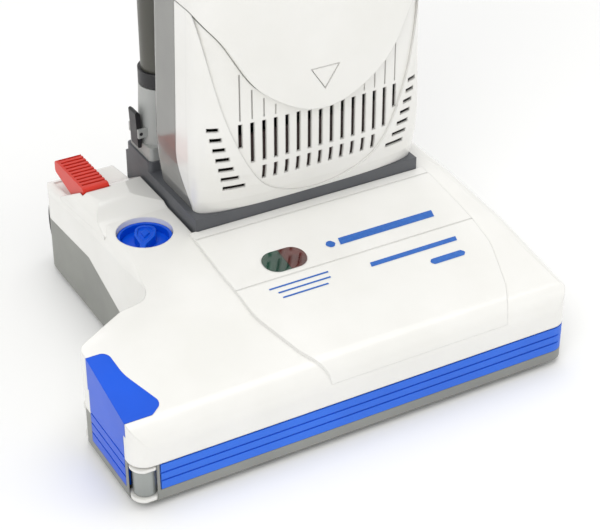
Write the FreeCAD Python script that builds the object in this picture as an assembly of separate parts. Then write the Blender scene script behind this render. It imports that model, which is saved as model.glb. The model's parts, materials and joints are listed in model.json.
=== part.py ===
import FreeCAD, Part
import math
import os

os.makedirs("parts", exist_ok=True)

# Overall sizes, in millimetres. X runs across the head, -Y is the front, Z is up.
# The origin is on the floor, under the middle of the head.
head_width = 380.0
head_depth = 350.0
overall_height = 1150.0
wall = 2.5
gap = 0.3
running = 0.06

right = head_width / 2
left = -right
front = -head_depth / 2
rear = head_depth / 2

# Head shell
corner_round = 14.0
arm_left = -118.0
cover_rear = rear - 6
shoulder_y = -84.0
shoulder_end_y = -56.0
nose_height = 69.0
deck_height = 91.5
deck_y = -79.0
crown_height = 101.5
arm_end_height = 84.0
arm_bend_y = 125.0
arm_bend_height = 90.0
panel_rise = 2.8
front_split = 38.4
arm_split = 61.0
arm_split_y = 68.0
rear_split = 52.0
floor_low = 6.0
floor_top = 9.0

# Body position
body_x = 50.0
tray_half = 103.0
tray_front = -2.0
tray_rear = 130.0
tray_low = 103.0
tray_top = 114.0
arm_gap = 2.0
notch_front = tray_front - 0.6
pivot_y = 85.0
pivot_z = 70.0
heel_radius = 45.0
trunnion_radius = 20.0
duct_bore = 16.0
pin_trunnion_radius = 8.0
tray_left = body_x - tray_half
tray_right = body_x + tray_half
notch_left = tray_left - arm_gap
notch_right = tray_right + arm_gap

# Brush and drive
brush_y = -125.0
brush_z = 36.0
bristle_radius = 33.0
core_radius = 22.0
hood_radius = 37.0
hood_left = left + 21
hood_right = right - 29
shaft_radius = 5.0
pulley_left = hood_right + 2
pulley_width = 12.0
brush_pulley_radius = 17.0
motor_pulley_radius = 8.0
belt_thickness = 1.8
motor_y = -57.0
motor_z = 50.0
motor_radius = 26.0
motor_shaft_radius = 3.0
motor_left = 66.0
motor_right = 150.0

# Wheels
wheel_y = 135.0
tyre_radius = rear - wheel_y
hub_radius = 30.0
wheel_width = 18.0
axle_radius = 5.0
wheel_centre_left = -102.0
wheel_centre_right = 175.0
front_wheel_y = -72.0
front_wheel_radius = 11.0
front_wheel_width = 12.0
front_wheel_centres = (-123.0, 27.0)
front_axle_radius = 2.5
carriage_low = 44.0
carriage_thickness = 4.0

# Knob, pedal, lens
knob_x = -87.4
knob_y = 21.2
knob_radius = 22.2
knob_top = 97.0
spindle_radius = 5.0
pedal_left = -110.0
pedal_right = -87.0
pedal_front = 89.0
pedal_rear = 150.0
pedal_top = 112.0
lens_x = -6.5
lens_y = -62.0
lens_length = 37.0
lens_width = 24.0

# Front bumper, end cover, corner rollers
bumper_low = 15.0
bumper_high = 37.0
bumper_depth = 7.0
end_cover_front = -157.0
end_cover_back = -97.0
end_cover_low = 13.0
end_cover_skin = 4.0
roller_radius = 9.0
roller_low = 11.0
roller_high = 34.0
roller_spots = ((-178.5, -164.5), (-178.5, -85.5))
roller_pin_radius = 2.0

# Body
shell_x = body_x + 2.5
shell_foot_half = 100.5
shell_flare = 4.0
body_taper = 0.03
body_top = 600.0
side_start = 14.0
foot_bulge = 17.0
front_bulge = 28.0
bulge_z = 160.0
shell_back = 32.0
bag_wall_y = 18.0
grille_x = shell_x + 2.0
door_top = body_top - 4
door_hinge_y = -16.0
door_hinge_z = body_top - 6.5
tube_radius = 16.0
tube_x = -30.0
tube_y = 103.0
tube_low = 136.0
tube_high = body_top + 90
hose_radius = 18.0
hose_wall = 2.5
inlet_x = 0.0
inlet_y = 30.0
cap_high = body_top + 36
handle_y = 100.0
handle_radius = 15.0
handle_inner_radius = 12.5
slot_width = 3.6
slot_pitch = 10.0


def point(x, y, z):
    return FreeCAD.Vector(x, y, z)


def save(name, shape):
    shape.exportStep("parts/" + name + ".step")


def box(x0, x1, y0, y1, z0, z1):
    return Part.makeBox(x1 - x0, y1 - y0, z1 - z0, point(x0, y0, z0))


def rod(base, direction, radius, length):
    return Part.makeCylinder(radius, length, base, direction)


def ring(base, direction, outer, inner, length):
    return rod(base, direction, outer, length).cut(rod(base, direction, inner, length))


ALONG_X = point(1, 0, 0)
ALONG_Y = point(0, 1, 0)
ALONG_Z = point(0, 0, 1)


def place(a, b, plane, level):
    if plane == "XY":
        return point(a, b, level)
    if plane == "YZ":
        return point(level, a, b)
    return point(a, level, b)


def outline_edges(corners, plane, level):
    """The edges, in order, of a loop through corners (a, b, radius), each rounded by its radius."""
    count = len(corners)
    edges = []
    ends = []
    for i in range(count):
        a, b, radius = corners[i]
        before = corners[i - 1]
        after = corners[(i + 1) % count]
        u = point(before[0] - a, before[1] - b, 0).normalize()
        w = point(after[0] - a, after[1] - b, 0).normalize()
        if radius <= 0:
            ends.append((point(a, b, 0), point(a, b, 0)))
            continue
        half = u.getAngle(w) / 2
        reach = radius / math.tan(half)
        start = point(a, b, 0) + u * reach
        end = point(a, b, 0) + w * reach
        middle_way = (u + w).normalize()
        centre = point(a, b, 0) + middle_way * (radius / math.sin(half))
        middle = centre - middle_way * radius
        placed = [place(p.x, p.y, plane, level) for p in (start, middle, end)]
        edges.append((i, Part.Arc(*placed).toShape()))
        ends.append((start, end))
    ordered = []
    arcs = dict(edges)
    for i in range(count):
        if i in arcs:
            ordered.append(arcs[i])
        here = ends[i][1]
        there = ends[(i + 1) % count][0]
        if here.distanceToPoint(there) > 1e-6:
            first = place(here.x, here.y, plane, level)
            second = place(there.x, there.y, plane, level)
            ordered.append(Part.makeLine(first, second))
    return ordered


def outline(corners, plane, level):
    return Part.Wire(outline_edges(corners, plane, level))


def prism(corners, plane, low, high):
    face = Part.Face(outline(corners, plane, low))
    way = {"XY": ALONG_Z, "YZ": ALONG_X, "XZ": ALONG_Y}[plane]
    return face.extrude(way * (high - low))


def sharp(corners):
    return [(a, b, 0) for a, b in corners]


def inset_prism(corners, plane, low, high, inset):
    wire = outline(corners, plane, low)
    if inset:
        wire = wire.makeOffset2D(-inset)
    way = {"XY": ALONG_Z, "YZ": ALONG_X, "XZ": ALONG_Y}[plane]
    return Part.Face(wire).extrude(way * (high - low))


# ---------------------------------------------------------------- head shell
head_plan = [
    (left, front, corner_round),
    (right, front, corner_round),
    (right, cover_rear, 12),
    (notch_right, cover_rear, 6),
    (notch_right, notch_front, 4),
    (notch_left, notch_front, 4),
    (notch_left, cover_rear, 8),
    (arm_left, cover_rear, 22),
    (arm_left, shoulder_end_y, 16),
    (-146, shoulder_end_y - 5, 20),
    (left, shoulder_y, 8),
]
deck_profile = [
    (front, -5, 0),
    (front, nose_height, 20),
    (deck_y, deck_height, 150),
    (notch_front, crown_height, 300),
    (56, crown_height, 120),
    (arm_bend_y, arm_bend_height, 100),
    (cover_rear, arm_end_height, 18),
    (cover_rear, -5, 0),
]
split_profile = sharp([
    (front - 10, front_split),
    (0, front_split),
    (arm_split_y, arm_split),
    (rear + 10, rear_split),
    (rear + 10, 160),
    (front - 10, 160),
])


def raised(corners, rise):
    return [(a, b + rise if b > 0 else b, r) for a, b, r in corners]


right_edge = [
    (front - 5, nose_height - 2, 2),
    (deck_y, deck_height, 14),
    (notch_front, crown_height, 22),
    (56, crown_height, 22),
    (arm_bend_y, arm_bend_height, 18),
    (rear + 5, arm_end_height, 14),
]
left_edge = [
    (shoulder_end_y + 12, 96.5, 1),
    (notch_front, crown_height, 10),
    (56, crown_height, 12),
    (arm_bend_y, arm_bend_height, 8),
    (rear + 5, arm_end_height, 8),
]


def outside_edge(stations, edge_x, side, inset, rise):
    """What lies outside a rounded top edge that runs front to back."""
    wires = []
    for y, top, radius in stations:
        reach = max(radius - inset, 0.8)
        x = edge_x - side * inset
        z = top - inset + rise + 0.15
        bend = reach * (1 - math.sqrt(0.5))
        high = point(x - side * reach, y, z)
        middle = point(x - side * bend, y, z - bend)
        low = point(x, y, z - reach)
        far = point(x + side * 6, y, z - reach)
        over = point(x + side * 6, y, z + 14)
        back = point(x - side * reach, y, z + 14)
        edges = [Part.Arc(high, middle, low).toShape()]
        for start, end in ((low, far), (far, over), (over, back), (back, high)):
            edges.append(Part.makeLine(start, end))
        wires.append(Part.Wire(edges))
    return Part.makeLoft(wires, True, True)


def head_solid(inset, rise):
    plan = inset_prism(head_plan, "XY", -1, 140, inset)
    profile = inset_prism(raised(deck_profile, rise), "YZ", left - 5, right + 5, inset)
    solid = plan.common(profile)
    solid = solid.cut(outside_edge(right_edge, right, 1, inset, rise))
    return solid.cut(outside_edge(left_edge, arm_left, -1, inset, rise))


above_split = prism(split_profile, "YZ", left - 10, right + 10)
outer_solid = head_solid(0, 0)
inner_solid = head_solid(wall, 0)
lower_edge = box(left - 10, right + 10, front - 10, rear + 10, -20, floor_low)

panel_corners = [
    (body_x - 77, front - 3, 0),
    (body_x + 77, front - 3, 0),
    (body_x + 92, -152, 40),
    (body_x + 107, -108, 60),
    (body_x + 109, -60, 80),
    (body_x + 109, notch_front + 1, 0),
    (body_x - 109, notch_front + 1, 0),
    (body_x - 109, -60, 80),
    (body_x - 107, -108, 60),
    (body_x - 92, -152, 40),
]
panel_prism = prism(panel_corners, "XY", 40, 140)
panel = head_solid(0, panel_rise).cut(head_solid(0, -0.5)).common(panel_prism)
panel = panel.cut(box(left, right, front - 1, notch_front - 150, 0, nose_height - 12))

hill_side = [
    (34, 80, 0),
    (34, crown_height - 3, 0),
    (50, crown_height + 1, 16),
    (67, 110.5, 16),
    (90, 109, 12),
    (arm_bend_y, arm_bend_height - 1, 0),
    (arm_bend_y, 80, 0),
]
hill_front = [
    (arm_left + 1, 80, 0),
    (arm_left + 1, 110.5, 16),
    (arm_left + 40, 110.5, 20),
    (notch_left, 104, 0),
    (notch_left, 80, 0),
]
hill = prism(hill_side, "YZ", arm_left, notch_left).common(prism(hill_front, "XZ", 0, 150))
pedal_floor = box(pedal_left - 3, pedal_right + 1, pedal_front + 4, pedal_rear + 5, 83.3, 84.8)

cover = outer_solid.cut(inner_solid).fuse(hill.cut(inner_solid)).fuse(pedal_floor.common(outer_solid))
cover = cover.common(above_split).fuse(panel)

knob_hole = rod(point(knob_x, knob_y, 60), ALONG_Z, knob_radius + 0.6, 60)
knob_sleeve = ring(point(knob_x, knob_y, knob_top - 12), ALONG_Z, knob_radius + 2.6, knob_radius + 0.6, 20)
lens_corners = [
    (lens_x - lens_length / 2, lens_y - lens_width / 2, lens_width / 2 - 0.5),
    (lens_x + lens_length / 2, lens_y - lens_width / 2, lens_width / 2 - 0.5),
    (lens_x + lens_length / 2, lens_y + lens_width / 2, lens_width / 2 - 0.5),
    (lens_x - lens_length / 2, lens_y + lens_width / 2, lens_width / 2 - 0.5),
]
lens_prism = prism(lens_corners, "XY", 60, 140)
pedal_pocket = box(pedal_left - 1, pedal_right + 1, pedal_front - 1, pedal_rear + 3, 84.8, 140)
pedal_pin_y = pedal_front + 7
pedal_pin_z = 98.0
pedal_pin_radius = 2.5
pin_left = pedal_left - 3.5
pin_right = pedal_right + 11
pin_bore = rod(point(pin_left, pedal_pin_y, pedal_pin_z), ALONG_X, pedal_pin_radius, pin_right - pin_left)
spring_pocket = rod(point(pedal_right, pedal_pin_y, pedal_pin_z), ALONG_X, pedal_pin_radius + 1.7, 9)
wheel_slots = []
for centre in (wheel_centre_left, wheel_centre_right):
    half = wheel_width / 2 + 2
    wheel_slots.append(box(centre - half, centre + half, wheel_y - tyre_radius - 3, rear + 5, -5, 61))
    wheel_slots.append(rod(point(centre - half, wheel_y, tyre_radius), ALONG_X, tyre_radius + 3, 2 * half))
trunnion_hole = rod(point(notch_left - 4, pivot_y, pivot_z), ALONG_X, trunnion_radius + running, 8)
pin_hole = rod(point(notch_right - 4, pivot_y, pivot_z), ALONG_X, pin_trunnion_radius + running, 8)
end_pocket = box(left - 5, left + end_cover_skin + gap, end_cover_front - gap, end_cover_back + gap, 0, 130)
flange_corners = [
    (left - 5, end_cover_front - 4, 0),
    (-168, end_cover_front - 4, 5),
    (-157, end_cover_front + 4, 7),
    (-171, end_cover_front + 38, 40),
    (-173, end_cover_back + 2, 7),
    (left - 5, end_cover_back + 2, 0),
]
flange_prism = prism(flange_corners, "XY", 60, 130)
flange_pocket = flange_prism.cut(head_solid(1.6, 0))
lock_y = 52.0
lock_z = 82.0
lock_radius = 4.0
lock_hole = rod(point(notch_left - 4, lock_y, lock_z), ALONG_X, lock_radius + running, 8)
grooves = []
for groove_y in (notch_front - 9, deck_y):
    grooves.append(box(body_x - 108, body_x + 108, groove_y - 0.5, groove_y + 0.5, 60, 140))
groove_cut = grooves[0].fuse(grooves[1]).cut(head_solid(0, panel_rise - 0.6))

cover = cover.cut(knob_hole).fuse(knob_sleeve.common(outer_solid)).cut(lens_prism).cut(pedal_pocket)
cover = cover.cut(pin_bore).cut(spring_pocket)
for slot in wheel_slots:
    cover = cover.cut(slot)
cover = cover.cut(trunnion_hole).cut(pin_hole).cut(end_pocket).cut(flange_pocket)
cover = cover.cut(lock_hole).cut(groove_cut)
save("top_cover", cover)

lens = head_solid(0, panel_rise + 0.6).cut(head_solid(0, -2.5)).common(lens_prism)
save("lens_green", lens.common(box(lens_x - 60, lens_x - 0.1, lens_y - 40, lens_y + 40, 60, 130)))
save("lens_red", lens.common(box(lens_x + 0.1, lens_x + 60, lens_y - 40, lens_y + 40, 60, 130)))

# ---------------------------------------------------------------- chassis
chassis = outer_solid.cut(inner_solid).cut(above_split).cut(lower_edge)
floor_plate = inset_prism(head_plan, "XY", floor_low, floor_top, 1.0)
chassis = chassis.fuse(floor_plate)
under_body = box(notch_left - 1, notch_right + 1, notch_front - 1, pivot_y + 10, floor_low, floor_top)
chassis = chassis.fuse(under_body)
bumper_recess = box(-171, right + 5, front - 5, front + bumper_depth + gap, bumper_low - gap, front_split + 1)
bumper_back = box(-171, right - wall, front + bumper_depth + gap, front + bumper_depth + gap + wall,
                  floor_low, front_split)
chassis = chassis.cut(bumper_recess).fuse(bumper_back.common(outer_solid))
end_wall = box(left + end_cover_skin + gap, left + end_cover_skin + gap + wall,
               end_cover_front - 8, end_cover_back + 8, floor_low, front_split)
chassis = chassis.cut(end_pocket.common(box(left - 10, 0, front, rear, end_cover_low - gap, 140)))
chassis = chassis.fuse(end_wall)
for x, y in roller_spots:
    chassis = chassis.cut(rod(point(x, y, roller_low - 4.3), ALONG_Z, roller_radius + 2.6, 60))
mouth = box(hood_left + 2, hood_right - 2, brush_y - hood_radius, brush_y + hood_radius, -5, floor_top + 1)
chassis = chassis.cut(mouth)
for slot in wheel_slots:
    chassis = chassis.cut(slot)
screw_radius = 1.5
screw_spots = [(x, brush_y + way * 39.5) for x in (-152, 60, 178) for way in (-1, 1)]
for x, y in screw_spots:
    chassis = chassis.cut(rod(point(x, y, 0), ALONG_Z, screw_radius, floor_low + 2))
for centre in front_wheel_centres:
    chassis = chassis.cut(box(centre - 10, centre + 10, front_wheel_y - 13, front_wheel_y + 13, -5, 20))
cradle = sharp([(motor_y - 24, floor_low + 1), (motor_y + 24, floor_low + 1), (motor_y + 24, motor_z),
                (motor_y - 24, motor_z)])
for x in (motor_left + 4, motor_right - 8):
    rib = prism(cradle, "YZ", x, x + 4)
    rib = rib.cut(rod(point(x - 1, motor_y, motor_z), ALONG_X, motor_radius + gap, 6))
    chassis = chassis.fuse(rib)
for centre, inner_x in ((wheel_centre_left, -84.0), (wheel_centre_right, 161.0)):
    boss = box(inner_x, inner_x + 3, wheel_y - 9, wheel_y + 9, floor_low, tyre_radius + 9)
    if centre < 0:
        chassis = chassis.fuse(boss)
chassis = chassis.cut(trunnion_hole).cut(pin_hole).cut(lock_hole)
for x0, x1 in ((arm_left - 1, notch_left + 1), (notch_right - 1, right + 1)):
    bore = rod(point(x0, wheel_y, tyre_radius), ALONG_X, axle_radius, x1 - x0)
    chassis = chassis.cut(bore.common(box(x0 + 2.5, x1 - 2.5, 0, rear, 0, 100)))
save("chassis", chassis)

axle_left = rod(point(arm_left + wall, wheel_y, tyre_radius), ALONG_X, axle_radius,
                notch_left - wall - arm_left - wall)
axle_right = rod(point(notch_right + wall, wheel_y, tyre_radius), ALONG_X, axle_radius,
                 right - wall - notch_right - wall)
save("rear_axles", Part.makeCompound([axle_left, axle_right]))

# ---------------------------------------------------------------- bumper, end cover, rollers
bumper = box(-170, right, front, front + bumper_depth, bumper_low, bumper_high)
bumper = bumper.common(prism(head_plan, "XY", 0, 100))
for rib_z in (bumper_low + 7, bumper_low + 14):
    bumper = bumper.cut(box(-180, right + 5, front - 1, front + 1.2, rib_z, rib_z + 1.4))
save("bumper_strip", bumper)

end_cover = box(left, left + end_cover_skin, end_cover_front, end_cover_back, end_cover_low, 120)
end_cover = end_cover.common(outer_solid)
for rib_z in (end_cover_low + 8, end_cover_low + 17, end_cover_low + 26):
    end_cover = end_cover.cut(box(left - 1, left + 1.2, -200, 0, rib_z, rib_z + 1.4))
flange = prism(flange_corners, "XY", 60, 130).common(outer_solid.cut(head_solid(1.4, 0)))
flange_trim = box(left - 10, left + 60, front, end_cover_front - 4 + gap, 50, 140)
end_cover = end_cover.fuse(flange.cut(flange_trim))
save("end_cover", end_cover)

frames = []
for x, y in roller_spots:
    post = rod(point(x, y, roller_low - 4), ALONG_Z, roller_radius + 2.2, 3.4)
    cap = rod(point(x, y, roller_high + gap), ALONG_Z, roller_radius + 2.2, 2.4)
    inward = box(x + 4, x + roller_radius + 2.2, y - 7, y + 7, roller_low - 4, roller_high + 2)
    inward = inward.cut(rod(point(x, y, roller_low - 5), ALONG_Z, roller_radius + 0.8, 40))
    pin = rod(point(x, y, roller_low - 2), ALONG_Z, roller_pin_radius, roller_high - roller_low + 4)
    frame = post.fuse(cap).fuse(inward).fuse(pin)
    frame = frame.cut(box(left - 5, left + end_cover_skin + 1, end_cover_front - gap,
                          end_cover_back + gap, 0, 60))
    frames.append(frame.common(box(left, hood_left - 1.6, front, rear, 0, 60)))
save("roller_frames", Part.makeCompound(frames))
for name, spot in zip(("roller_front", "roller_rear"), roller_spots):
    x, y = spot
    height = roller_high - roller_low
    roller = ring(point(x, y, roller_low), ALONG_Z, roller_radius, roller_pin_radius + running, height)
    save(name, roller)

# ---------------------------------------------------------------- brush and its drive
hood_outer = hood_radius + 2
hood_shape = rod(point(hood_left, brush_y, brush_z), ALONG_X, hood_outer, hood_right - hood_left)
hood_shape = hood_shape.fuse(box(hood_left, hood_right, brush_y - hood_outer, brush_y + hood_outer,
                                 floor_top, brush_z))
hood_hole = rod(point(hood_left + 2, brush_y, brush_z), ALONG_X, hood_radius, hood_right - hood_left - 4)
hood_hole = hood_hole.fuse(box(hood_left + 2, hood_right - 2, brush_y - hood_radius,
                               brush_y + hood_radius, 0, brush_z))
hood_shape = hood_shape.cut(hood_hole)
hood_shape = hood_shape.common(box(left, right, front + bumper_depth + gap + wall, rear, floor_top, 140))
shaft_way = rod(point(left, brush_y, brush_z), ALONG_X, shaft_radius + 1, head_width)
duct_left = -85.0
duct_right = notch_left - wall
duct_mouth = box(duct_left + 2, duct_right - 2, brush_y + hood_radius - 3, brush_y + hood_outer + 1, 14, 38)
hood_shape = hood_shape.cut(shaft_way).cut(duct_mouth)
save("brush_hood", hood_shape)

core = rod(point(hood_left + 4, brush_y, brush_z), ALONG_X, core_radius, hood_right - hood_left - 8)
for turn in range(4):
    angle = math.radians(90 * turn + 45)
    y = brush_y + core_radius * math.cos(angle)
    z = brush_z + core_radius * math.sin(angle)
    core = core.cut(rod(point(hood_left, y, z), ALONG_X, 3.2, head_width))
shaft_left = left + 8
shaft_right = right - 6
brush_shaft = rod(point(shaft_left, brush_y, brush_z), ALONG_X, shaft_radius, shaft_right - shaft_left)
save("brush_core", core.fuse(brush_shaft))

bar_count = 4
bar_step = (hood_right - hood_left) / (bar_count + 1)
bar_spots = [hood_left + bar_step * (i + 1) for i in range(bar_count)]
bar_gaps = []
for x in bar_spots:
    bar_gaps.append(ring(point(x - 3, brush_y, brush_z), ALONG_X, bristle_radius + 2, core_radius + 4, 6))
tufts = []
for turn in range(4):
    angle = math.radians(90 * turn + 45)
    spine = rod(point(hood_left + 5, brush_y + core_radius * math.cos(angle),
                      brush_z + core_radius * math.sin(angle)), ALONG_X, 2.9,
                hood_right - hood_left - 10)
    blade = box(hood_left + 6, hood_right - 6, -2.0, 2.0, core_radius, bristle_radius)
    blade.rotate(point(0, 0, 0), ALONG_X, 90 * turn - 45)
    blade.translate(point(0, brush_y, brush_z))
    for bar_gap in bar_gaps:
        blade = blade.cut(bar_gap)
    tufts.append(spine.fuse(blade))
save("brush_bristles", Part.makeCompound(tufts))


brush_pulley = ring(point(pulley_left, brush_y, brush_z), ALONG_X, brush_pulley_radius, shaft_radius,
                    pulley_width)
save("brush_pulley", brush_pulley)

bearing_blocks = []
for x0, x1 in ((shaft_left, shaft_left + 10), (pulley_left + pulley_width + 1.5, shaft_right)):
    block = box(x0, x1, brush_y - 10, brush_y + 10, floor_top, brush_z + 10)
    block = block.cut(rod(point(x0 - 1, brush_y, brush_z), ALONG_X, shaft_radius + running, x1 - x0 + 2))
    bearing_blocks.append(block)
save("brush_bearings", Part.makeCompound(bearing_blocks))

motor = rod(point(motor_left, motor_y, motor_z), ALONG_X, motor_radius, motor_right - motor_left)
for angle in range(0, 360, 45):
    vent = box(motor_left - 1, motor_left + 3, -2.5, 2.5, 10, 21)
    vent.rotate(point(0, 0, 0), ALONG_X, angle)
    vent.translate(point(0, motor_y, motor_z))
    motor = motor.cut(vent)
rotor_left = motor_left + 16
rotor_right = motor_right - 16
rotor_radius = 17.5
motor = motor.cut(rod(point(rotor_left - 3, motor_y, motor_z), ALONG_X, rotor_radius + 1,
                      rotor_right - rotor_left + 6))
motor = motor.cut(rod(point(motor_left + 4, motor_y, motor_z), ALONG_X,
                      motor_shaft_radius + running, motor_right - motor_left))
save("brush_motor", motor)
pulley_right = pulley_left + pulley_width
motor_rod = rod(point(motor_left + 5, motor_y, motor_z), ALONG_X, motor_shaft_radius,
                pulley_right - 2 - motor_left)
motor_rotor = rod(point(rotor_left, motor_y, motor_z), ALONG_X, rotor_radius, rotor_right - rotor_left)
save("motor_shaft", motor_rod.fuse(motor_rotor))
save("motor_pulley", ring(point(pulley_left, motor_y, motor_z), ALONG_X, motor_pulley_radius,
                          motor_shaft_radius, pulley_width))


def belt_solid(extra):
    reach = math.hypot(motor_y - brush_y, motor_z - brush_z)
    lean = math.atan2(motor_z - brush_z, motor_y - brush_y)
    big = brush_pulley_radius + extra
    small = motor_pulley_radius + extra
    spread = math.acos((big - small) / reach)
    corners = []
    for centre_y, centre_z, radius in ((brush_y, brush_z, big), (motor_y, motor_z, small)):
        for side in (1, -1):
            angle = lean + side * spread
            corners.append((centre_y + radius * math.cos(angle), centre_z + radius * math.sin(angle)))
    quad = sharp([corners[0], corners[1], corners[3], corners[2]])
    body = prism(quad, "YZ", pulley_left + 1, pulley_right - 1)
    for centre_y, centre_z, radius in ((brush_y, brush_z, big), (motor_y, motor_z, small)):
        body = body.fuse(rod(point(pulley_left + 1, centre_y, centre_z), ALONG_X, radius,
                             pulley_width - 2))
    return body


save("drive_belt", belt_solid(0.3 + belt_thickness).cut(belt_solid(0.3)))

# ---------------------------------------------------------------- suction duct, sole plate
low_run = box(duct_left, duct_right, brush_y + hood_outer, pivot_y + 18, 12, 40)
duct_top = pivot_z + duct_bore + 2.4
riser = box(duct_left, duct_right, pivot_y - 25, pivot_y + 18, 12, duct_top)
duct = low_run.fuse(riser)
hollow = box(duct_left + 2, duct_right - 2, brush_y + hood_outer - 1, pivot_y + 16, 14, 38)
hollow = hollow.fuse(box(duct_left + 2, duct_right - 2, pivot_y - 23, pivot_y + 16, 14, duct_top - 2))
duct = duct.cut(hollow)
duct = duct.cut(rod(point(duct_right - 5, pivot_y, pivot_z), ALONG_X, duct_bore, 10))
save("suction_duct", duct)

sole = prism([
    (-178, brush_y - 42, 6),
    (right - 6, brush_y - 42, 6),
    (right - 6, brush_y + 42, 6),
    (-178, brush_y + 42, 6),
], "XY", floor_low - 2, floor_low)
sole = sole.cut(box(hood_left + 2, hood_right - 2, brush_y - hood_radius, brush_y + hood_radius, 0, 10))
for x in bar_spots:
    sole = sole.fuse(box(x - 1.5, x + 1.5, brush_y - hood_radius - 1, brush_y + hood_radius + 1,
                         floor_low - 2, floor_low - 1.2))
screws = []
for x, y in screw_spots:
    sole = sole.cut(rod(point(x, y, 0), ALONG_Z, screw_radius, 10))
    shank = rod(point(x, y, floor_low - 2), ALONG_Z, screw_radius, 4)
    head = rod(point(x, y, floor_low - 2), ALONG_Z, 2.3, 1.2)
    sole = sole.cut(head)
    screws.append(head.fuse(shank))
save("sole_plate", sole)
save("sole_screws", Part.makeCompound(screws))

# ---------------------------------------------------------------- knob and front wheels
dish = rod(point(knob_x, knob_y, 84), ALONG_Z, knob_radius, knob_top - 84)
dish = dish.cut(rod(point(knob_x, knob_y, knob_top - 6), ALONG_Z, knob_radius - 2.5, 10))
pointer_corners = [(-8.5, 15, 8), (8.5, 15, 8), (8.5, 0, 6), (2.2, -14, 8), (2.2, -21, 1.5), (-2.2, -21, 1.5),
                   (-2.2, -14, 8), (-8.5, 0, 6)]
pointer = prism(pointer_corners, "XY", knob_top - 7, knob_top + 1.5)
inner_corners = [(-6.3, 12.6, 5), (6.3, 12.6, 5), (6.3, 1, 3), (0, -11, 1), (-6.3, 1, 3)]
pointer = pointer.cut(prism(inner_corners, "XY", knob_top + 0.3, knob_top + 5))
diamond = prism([(-3.6, 4.5, 0.5), (0, 9.5, 1), (3.6, 4.5, 0.5), (0, -3, 0.5)], "XY", knob_top, knob_top + 1.5)
pointer = pointer.fuse(diamond)
pointer.rotate(point(0, 0, 0), ALONG_Z, -30)
pointer.translate(point(knob_x, knob_y, 0))
spindle = rod(point(knob_x, knob_y, carriage_low - 1), ALONG_Z, spindle_radius, 84 - carriage_low + 2)
save("height_knob", dish.fuse(pointer).fuse(spindle))

carriage_high = carriage_low + carriage_thickness
bar_y0 = front_wheel_y - 6
bar_y1 = front_wheel_y + 6
carriage = box(front_wheel_centres[0] - 11, front_wheel_centres[1] + 11, bar_y0, bar_y1,
               carriage_low, carriage_high)
carriage = carriage.fuse(box(-112, -98, bar_y0, knob_y + 10, carriage_low, carriage_high))
carriage = carriage.fuse(box(-112, knob_x + 11, knob_y - 11, knob_y + 11, carriage_low, carriage_high))
carriage = carriage.cut(rod(point(knob_x, knob_y, carriage_low - 1), ALONG_Z, spindle_radius + running, 9))
for centre in front_wheel_centres:
    half = front_wheel_width / 2
    for x in (centre - half - 3.5, centre + half + 0.5):
        leg = box(x, x + 3, front_wheel_y - 5, front_wheel_y + 5, front_wheel_radius - 4, carriage_low)
        carriage = carriage.fuse(leg)
    pin = rod(point(centre - half - 2, front_wheel_y, front_wheel_radius), ALONG_X, front_axle_radius,
              front_wheel_width + 4)
    carriage = carriage.fuse(pin)
save("wheel_carriage", carriage)
for name, centre in zip(("front_wheel_left", "front_wheel_right"), front_wheel_centres):
    start = point(centre - front_wheel_width / 2, front_wheel_y, front_wheel_radius)
    save(name, ring(start, ALONG_X, front_wheel_radius, front_axle_radius + running, front_wheel_width))

for side, centre in (("left", wheel_centre_left), ("right", wheel_centre_right)):
    start = point(centre - wheel_width / 2, wheel_y, tyre_radius)
    hub = ring(start, ALONG_X, hub_radius, axle_radius + running, wheel_width)
    dish_cut = ring(start - ALONG_X, ALONG_X, hub_radius - 4, axle_radius + 5, 4)
    far_cut = ring(start + ALONG_X * (wheel_width - 3), ALONG_X, hub_radius - 4, axle_radius + 5, 4)
    save("wheel_" + side, hub.cut(dish_cut).cut(far_cut))
    tyre = ring(start, ALONG_X, tyre_radius, hub_radius, wheel_width)
    rim = [e for e in tyre.Edges if abs(e.Length - 2 * math.pi * tyre_radius) < 0.1 and e.Closed]
    save("tyre_" + side, tyre.makeFillet(2.0, rim))

# ---------------------------------------------------------------- foot pedal and lock
pedal_side = [
    (pedal_front, 91, 2),
    (pedal_front, pedal_top, 3),
    (pedal_rear, pedal_top - 2, 4),
    (pedal_rear, pedal_top - 13, 3),
    (pedal_rear - 32, 93, 6),
    (pedal_front + 16, 90.5, 2),
    (pedal_front + 3, 90.5, 2),
]
pedal = prism(pedal_side, "YZ", pedal_left, pedal_right)
rib_count = 10
rib_pitch = (pedal_rear - pedal_front - 6) / rib_count
for i in range(rib_count):
    y = pedal_front + 4.5 + rib_pitch * (i + 0.5)
    pedal = pedal.cut(box(pedal_left + 2, pedal_right + 1, y - 1.1, y + 1.1, pedal_top - 3.8, pedal_top + 5))
pedal = pedal.cut(rod(point(pedal_left - 1, pedal_pin_y, pedal_pin_z), ALONG_X, pedal_pin_radius + running, 40))
save("foot_pedal", pedal)
save("pedal_pin", pin_bore)
save("pedal_spring", ring(point(pedal_right + 0.6, pedal_pin_y, pedal_pin_z), ALONG_X, pedal_pin_radius + 1,
                          pedal_pin_radius + running, 7.8))
lock_pin = rod(point(duct_left - 14, lock_y, lock_z), ALONG_X, lock_radius,
               tray_left - 0.6 - duct_left + 14)
save("lock_pin", lock_pin)

# ---------------------------------------------------------------- pivot tray


def tray_profile(inset):
    corners = [
        (tray_front + inset, tray_low + inset * 0.6, 0),
        (tray_front + inset, tray_top - inset, 0),
        (tray_rear - inset, tray_top - inset, 0),
        (tray_rear - inset, pivot_z - heel_radius + inset, heel_radius - inset - 1),
        (pivot_y - 30, pivot_z - heel_radius + inset, 20),
    ]
    return corners


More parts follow.
